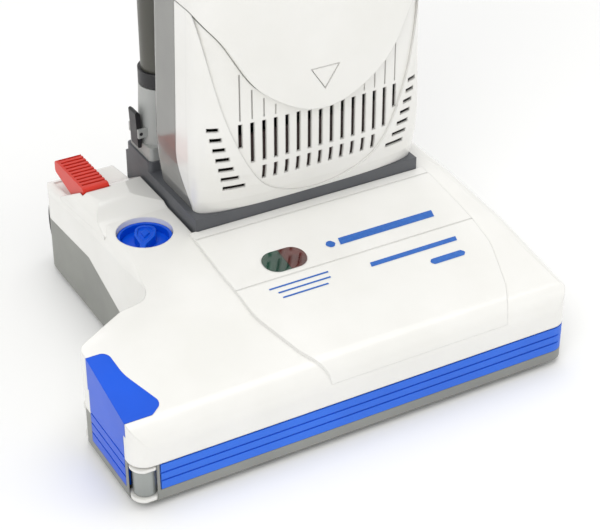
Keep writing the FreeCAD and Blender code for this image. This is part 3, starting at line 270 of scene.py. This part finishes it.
def geometry_tree(name, sizes):
    """An empty geometry tree with a named number input for each size."""
    tree = bpy.data.node_groups.new(name, "GeometryNodeTree")
    tree.interface.new_socket("Geometry", in_out="INPUT", socket_type="NodeSocketGeometry")
    sockets = {}
    for label, value in sizes.items():
        kind = "NodeSocketInt" if isinstance(value, int) else "NodeSocketFloat"
        socket = tree.interface.new_socket(label, in_out="INPUT", socket_type=kind)
        socket.default_value = value
        sockets[label] = socket.identifier
    tree.interface.new_socket("Geometry", in_out="OUTPUT", socket_type="NodeSocketGeometry")
    inlet = tree.nodes.new("NodeGroupInput")
    outlet = tree.nodes.new("NodeGroupOutput")
    return tree, inlet, outlet, sockets


def grow(name, tree, sockets, values):
    """An object that carries the tree, with its inputs set by their identifiers."""
    thing = bpy.data.objects.new(name, bpy.data.meshes.new(name))
    bpy.context.scene.collection.objects.link(thing)
    modifier = thing.modifiers.new(name, "NODES")
    modifier.node_group = tree
    for label, value in values.items():
        modifier[sockets[label]] = value
    bpy.context.view_layer.update()
    return thing


# ------------------------------------------------------------------ top hose

def corrugated_hose():
    """A hose of rounded rings along the route that the plain CAD hose takes."""
    low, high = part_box("top_hose")
    tube_low, tube_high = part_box("suction_tube")
    tube = (tube_low + tube_high) / 2
    radius = tube.x - low.x
    inlet = Vector((high.x - radius, low.y + radius, 0))
    tube_foot = Vector((tube.x, tube.y, 0))
    way = inlet - tube_foot
    reach = way.length / 2
    way.normalize()
    turn_z = high.z - radius - reach
    cuff_length = 0.034
    push_on_length = 0.040
    groove_depth = 0.0022
    inside_cad = 0.0001
    start_z = tube_high.z - push_on_length
    straight_up = turn_z - start_z
    straight_down = turn_z - low.z
    total = straight_up + math.pi * reach + straight_down
    pitch = 0.0042
    per_ring = 6
    steps = int(total / pitch) * per_ring
    sides = 40
    build = bmesh.new()
    rings = []
    for i in range(steps + 1):
        along = total * i / steps
        if along < straight_up:
            centre = tube_foot + Vector((0, 0, start_z + along))
            out = way
        elif along < straight_up + math.pi * reach:
            angle = (along - straight_up) / reach
            hub = tube_foot + way * reach + Vector((0, 0, turn_z))
            out = way * math.cos(angle) - Vector((0, 0, math.sin(angle)))
            centre = hub - out * reach
        else:
            centre = inlet + Vector((0, 0, turn_z - (along - straight_up - math.pi * reach)))
            out = -way
        side = way.cross(Vector((0, 0, 1)))
        plain = min(along, total - along) < cuff_length
        wave = 0.0 if plain else 0.5 - 0.5 * math.cos(2 * math.pi * i / per_ring)
        here = radius - (0.0 if plain else groove_depth) * (1 - wave) - inside_cad
        rings.append([build.verts.new(centre + (out * math.cos(a) + side * math.sin(a)) * here)
                      for a in (2 * math.pi * k / sides for k in range(sides))])
    for first, second in zip(rings, rings[1:]):
        for k in range(sides):
            build.faces.new((first[k], first[(k + 1) % sides], second[(k + 1) % sides], second[k]))
    build.faces.new(list(reversed(rings[0])))
    build.faces.new(rings[-1])
    bmesh.ops.recalc_face_normals(build, faces=build.faces)
    for face in build.faces:
        face.smooth = len(face.verts) == 4
    return piece_from("hose_corrugated", build, "hose", "tube", ["top_hose"])


# ------------------------------------------------------------------ brush bristles

def bristle_rows():
    """Rows of tufts at four turns round the core, with a gap at each cross bar of the sole."""
    low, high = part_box("brush_bristles")
    core_low, core_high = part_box("brush_core")
    hood_low, hood_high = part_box("brush_hood")
    middle = (core_low + core_high) / 2
    pitch = 0.0052
    bar_clearance = 0.006
    end_clearance = 0.003
    tip = math.sqrt(2) * (high.z - low.z) / 2 - 0.0025
    root = (core_high.z - core_low.z) / 2 - 0.003
    bars = [hood_low.x + (hood_high.x - hood_low.x) * share / 5 for share in range(1, 5)]
    starts = [low.x + end_clearance] + [bar + bar_clearance for bar in bars]
    stops = [bar - bar_clearance for bar in bars] + [high.x - end_clearance]
    tree, inlet, outlet, sockets = geometry_tree("bristle rows", {
        "Pitch": pitch, "Tip": tip, "Root": root})
    height = add(tree, "ShaderNodeMath", {0: inlet.outputs["Tip"], 1: inlet.outputs["Root"]},
                 operation="SUBTRACT")
    tuft = add(tree, "GeometryNodeMeshCone", {"Vertices": 8, "Radius Top": 0.0026, "Radius Bottom": 0.0017,
                                              "Depth": height.outputs[0]})
    lift = add(tree, "ShaderNodeCombineXYZ", {"Z": inlet.outputs["Root"]})
    stood = add(tree, "GeometryNodeTransform", {"Geometry": tuft.outputs["Mesh"],
                                                "Translation": lift.outputs[0]})
    blocks = add(tree, "GeometryNodeJoinGeometry")
    for start, stop in zip(starts, stops):
        run = add(tree, "ShaderNodeMath", {0: stop - start, 1: inlet.outputs["Pitch"]}, operation="DIVIDE")
        line = add(tree, "GeometryNodeMeshLine", {"Count": run.outputs[0], "Start Location": (start, 0, 0),
                                                  "Offset": (stop, 0, 0)}, mode="END_POINTS")
        tree.links.new(line.outputs["Mesh"], blocks.inputs["Geometry"])
    row = add(tree, "GeometryNodeInstanceOnPoints", {"Points": blocks.outputs["Geometry"],
                                                     "Instance": stood.outputs["Geometry"]})
    joined = add(tree, "GeometryNodeJoinGeometry")
    for turn in range(4):
        turned = add(tree, "GeometryNodeTransform", {"Geometry": row.outputs["Instances"],
                                                     "Rotation": (math.radians(90 * turn + 45), 0, 0)})
        tree.links.new(turned.outputs["Geometry"], joined.inputs["Geometry"])
    placed = add(tree, "GeometryNodeTransform", {"Geometry": joined.outputs["Geometry"],
                                                 "Translation": (0, middle.y, middle.z)})
    real = add(tree, "GeometryNodeRealizeInstances", {"Geometry": placed.outputs["Geometry"]})
    done = add(tree, "GeometryNodeSetMaterial", {"Geometry": real.outputs["Geometry"],
                                                 "Material": FINISHES["bristle"]})
    tree.links.new(done.outputs["Geometry"], outlet.inputs["Geometry"])
    maker = grow("bristle maker", tree, sockets, {"Pitch": pitch})
    return plain_mesh(maker, "bristle_tufts", "brush", ["brush_bristles"])


# ------------------------------------------------------------------ dust bag

def paper_bag():
    """A slack paper bag: crowned sides, pinched seams and long soft creases."""
    low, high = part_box("dust_bag")
    middle = (low + high) / 2
    half = (high - low) / 2
    build = bmesh.new()
    across, tall = 28, 40
    sheets = []
    for face in (-1, 1):
        rows = []
        for j in range(tall + 1):
            v = -1 + 2 * j / tall
            row = []
            for i in range(across + 1):
                u = -1 + 2 * i / across
                crown = max(0.0, (1 - abs(u) ** 3.2)) ** 0.5 * max(0.0, (1 - abs(v) ** 5)) ** 0.5
                crease = 0.05 * math.sin(5.2 * u + 1.9 * v) * math.sin(3.1 * v - 2.0 * u)
                depth = face * min(1.0, crown * (0.93 + crease))
                row.append(build.verts.new(middle + Vector((half.x * u * (1 - 0.04 * v * v),
                                                            half.y * depth, half.z * v))))
            rows.append(row)
        for j in range(tall):
            for i in range(across):
                build.faces.new((rows[j][i], rows[j][i + 1], rows[j + 1][i + 1], rows[j + 1][i]))
        sheets.append(rows)
    bmesh.ops.remove_doubles(build, verts=build.verts, dist=0.00005)
    bmesh.ops.recalc_face_normals(build, faces=build.faces)
    for face in build.faces:
        face.smooth = True
    bag = piece_from("paper_dust_bag", build, "bag", "body", ["dust_bag"])
    return bag


# ------------------------------------------------------------------ filters

def foam_sheet():
    """The curved foam behind the grille, with an open, uneven skin a little inside the CAD faces."""
    source = nodes["exhaust_filter"].data
    tree = BVHTree.FromPolygons([v.co.copy() for v in source.vertices],
                                [p.vertices[:] for p in source.polygons])
    low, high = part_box("exhaust_filter")
    across, tall = 110, 44
    margin = 0.0004
    pore_depth = 0.0004
    pores_per_metre = 420
    build = bmesh.new()
    sheets = []
    for start, way in ((low.y - 0.05, 1), (high.y + 0.05, -1)):
        rows = []
        for j in range(tall + 1):
            row = []
            for i in range(across + 1):
                x = low.x + margin + (high.x - low.x - 2 * margin) * i / across
                z = low.z + margin + (high.z - low.z - 2 * margin) * j / tall
                hit = tree.ray_cast(Vector((x, start, z)), Vector((0, way, 0)))[0]
                pore = pore_depth * (0.5 + 0.5 * noise.noise(Vector((x, way, z)) * pores_per_metre))
                row.append(build.verts.new(hit + Vector((0, way * pore, 0))))
            rows.append(row)
        sheets.append(rows)
    front, back = sheets
    for rows in sheets:
        for j in range(tall):
            for i in range(across):
                build.faces.new((rows[j][i], rows[j][i + 1], rows[j + 1][i + 1], rows[j + 1][i]))
    rim = [(0, i) for i in range(across)] + [(j, across) for j in range(tall)]
    rim += [(tall, i) for i in range(across, 0, -1)] + [(j, 0) for j in range(tall, 0, -1)]
    for (j0, i0), (j1, i1) in zip(rim, rim[1:] + rim[:1]):
        build.faces.new((front[j0][i0], front[j1][i1], back[j1][i1], back[j0][i0]))
    bmesh.ops.recalc_face_normals(build, faces=build.faces)
    for face in build.faces:
        face.smooth = True
    return piece_from("foam_exhaust_filter", build, "foam", "body", ["exhaust_filter"])


def pleated_filter():
    """Folded fleece in a stiff card frame, in the place of the plain motor filter."""
    low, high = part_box("motor_filter")
    edge = 0.004
    folds = 36
    build = bmesh.new()
    skin = 0.0004
    top_line = []
    for i in range(folds + 1):
        x = low.x + edge + (high.x - low.x - 2 * edge) * i / folds
        z = high.z - 0.001 if i % 2 else low.z + 0.001 + skin
        top_line.append((x, z))
    rows = []
    for y in (low.y + edge, high.y - edge):
        rows.append([(build.verts.new((x, y, z)), build.verts.new((x, y, z - skin))) for x, z in top_line])
    for i in range(folds):
        a, b, c, d = rows[0][i], rows[0][i + 1], rows[1][i + 1], rows[1][i]
        build.faces.new((a[0], b[0], c[0], d[0]))
        build.faces.new((a[1], d[1], c[1], b[1]))
        build.faces.new((a[0], a[1], b[1], b[0]))
        build.faces.new((d[0], c[0], c[1], d[1]))
    for i in (0, folds):
        a, d = rows[0][i], rows[1][i]
        build.faces.new((a[0], d[0], d[1], a[1]))
    bars = ((low.x, high.x, low.y, low.y + edge), (low.x, high.x, high.y - edge, high.y),
            (low.x, low.x + edge, low.y + edge, high.y - edge),
            (high.x - edge, high.x, low.y + edge, high.y - edge))
    for x0, x1, y0, y1 in bars:
        made = bmesh.ops.create_cube(build, size=1.0)["verts"]
        for vert in made:
            vert.co = Vector((x0 if vert.co.x < 0 else x1, y0 if vert.co.y < 0 else y1,
                              low.z if vert.co.z < 0 else high.z))
    bmesh.ops.recalc_face_normals(build, faces=build.faces)
    return piece_from("pleated_motor_filter", build, "filter", "body", ["motor_filter"])


# ------------------------------------------------------------------ printed marks on the centre panel

def printed_marks():
    """Plain blue printed bars that lie on the raised panel, with no letters."""
    cover = nodes["top_cover"].data
    corners = [v.co.copy() for v in cover.vertices]
    tree = BVHTree.FromPolygons(corners, [p.vertices[:] for p in cover.polygons])
    build = bmesh.new()
    lift = 0.00025

    def bar(x, y, length, width, lean=0.0, round_ends=False):
        columns = max(2, int(length / 2))
        rows = []
        for i in range(columns + 1):
            share = i / columns
            run = (share - 0.5) * length
            squeeze = 1.0
            if round_ends:
                edge = (0.5 - abs(share - 0.5)) * length
                squeeze = math.sqrt(max(0.04, 1 - max(0.0, 1 - edge / (width / 2)) ** 2))
            pair = []
            for side in (-0.5, 0.5):
                px = x + run + lean * side * width
                py = y + side * width * squeeze
                hit = tree.ray_cast(mm(px, py, 200), Vector((0, 0, -1)))[0]
                pair.append(build.verts.new(hit + Vector((0, 0, lift))))
            rows.append(pair)
        for first, second in zip(rows, rows[1:]):
            build.faces.new((first[0], second[0], second[1], first[1]))

    for i in range(3):
        bar(-8 + 2 * (i % 2), -88 - 5.5 * i, 52 - 6 * i, 1.5)
    bar(88, -60.5, 88, 8.0, 0.25)
    bar(36, -60.5, 8, 8.0, 0.0, True)
    bar(93, -94, 80, 4.5, 0.25)
    bar(115, -109.5, 32, 6.0, 0.0, True)
    bmesh.ops.recalc_face_normals(build, faces=build.faces)
    if sum(face.normal.z for face in build.faces) < 0:
        bmesh.ops.reverse_faces(build, faces=build.faces)
    return piece_from("printed_bars", build, "blue_abs", "head", material=BLUE_INK)


corrugated_hose()
bristle_rows()
paper_bag()
foam_sheet()
pleated_filter()
printed_marks()


# ------------------------------------------------------------------ floor, light, camera

def studio():
    """A pale seamless floor that curves up behind the machine."""
    build = bmesh.new()
    profile = [(-6.0, 0.0), (3.0, 0.0)]
    for i in range(1, 13):
        angle = math.radians(90 * i / 12)
        profile.append((3.0 + 1.5 * math.sin(angle), 1.5 - 1.5 * math.cos(angle)))
    profile.append((4.5, 6.0))
    rows = [[build.verts.new((x, y, z)) for y, z in profile] for x in (-7.0, 7.0)]
    for i in range(len(profile) - 1):
        build.faces.new((rows[0][i], rows[1][i], rows[1][i + 1], rows[0][i + 1]))
    for face in build.faces:
        face.smooth = True
    mesh = bpy.data.meshes.new("floor")
    build.to_mesh(mesh)
    build.free()
    floor = bpy.data.objects.new("floor", mesh)
    bpy.context.scene.collection.objects.link(floor)
    paper, _, shader, _ = new_material("matt white paper sweep", Roughness=0.9, Specular_IOR_Level=0.2)
    shader.inputs["Base Color"].default_value = colour("#fbfbfa")
    floor.data.materials.append(paper)


def softbox(name, place, target, width, height, watts, tint="#ffffff"):
    data = bpy.data.lights.new(name, "AREA")
    data.shape = "RECTANGLE"
    data.size = width
    data.size_y = height
    data.energy = watts
    data.color = colour(tint)[:3]
    lamp = bpy.data.objects.new(name, data)
    lamp.location = place
    lamp.rotation_euler = (Vector(target) - Vector(place)).to_track_quat("-Z", "Y").to_euler()
    bpy.context.scene.collection.objects.link(lamp)


def light_the_studio():
    softbox("key softbox", (-1.6, -1.5, 2.4), (0, 0, 0.1), 1.5, 1.5, 26)
    softbox("overhead softbox", (0.5, 0.3, 2.8), (0, 0, 0.1), 2.4, 1.8, 25)
    softbox("fill softbox", (2.2, -1.4, 1.2), (0, 0, 0.2), 1.4, 1.6, 6)
    world = bpy.data.worlds.new("studio air")
    world.use_nodes = True
    world.node_tree.nodes["Background"].inputs["Color"].default_value = colour("#ffffff")
    world.node_tree.nodes["Background"].inputs["Strength"].default_value = 0.66
    bpy.context.scene.world = world
    bpy.context.scene.view_settings.view_transform = "Standard"


def camera():
    """The viewpoint: to the left of the front, looking down at the head."""
    eye_place = (-0.56355, -1.07793, 0.84477)
    turn = math.radians(29.34)
    down = math.radians(33.03)
    data = bpy.data.cameras.new("camera")
    data.sensor_width = 36
    data.lens = 106.1
    data.clip_end = 30
    eye = bpy.data.objects.new("camera", data)
    eye.location = eye_place
    look = Vector((math.sin(turn) * math.cos(down), math.cos(turn) * math.cos(down), -math.sin(down)))
    eye.rotation_euler = look.to_track_quat("-Z", "Y").to_euler()
    bpy.context.scene.collection.objects.link(eye)
    bpy.context.scene.camera = eye


studio()
light_the_studio()
camera()
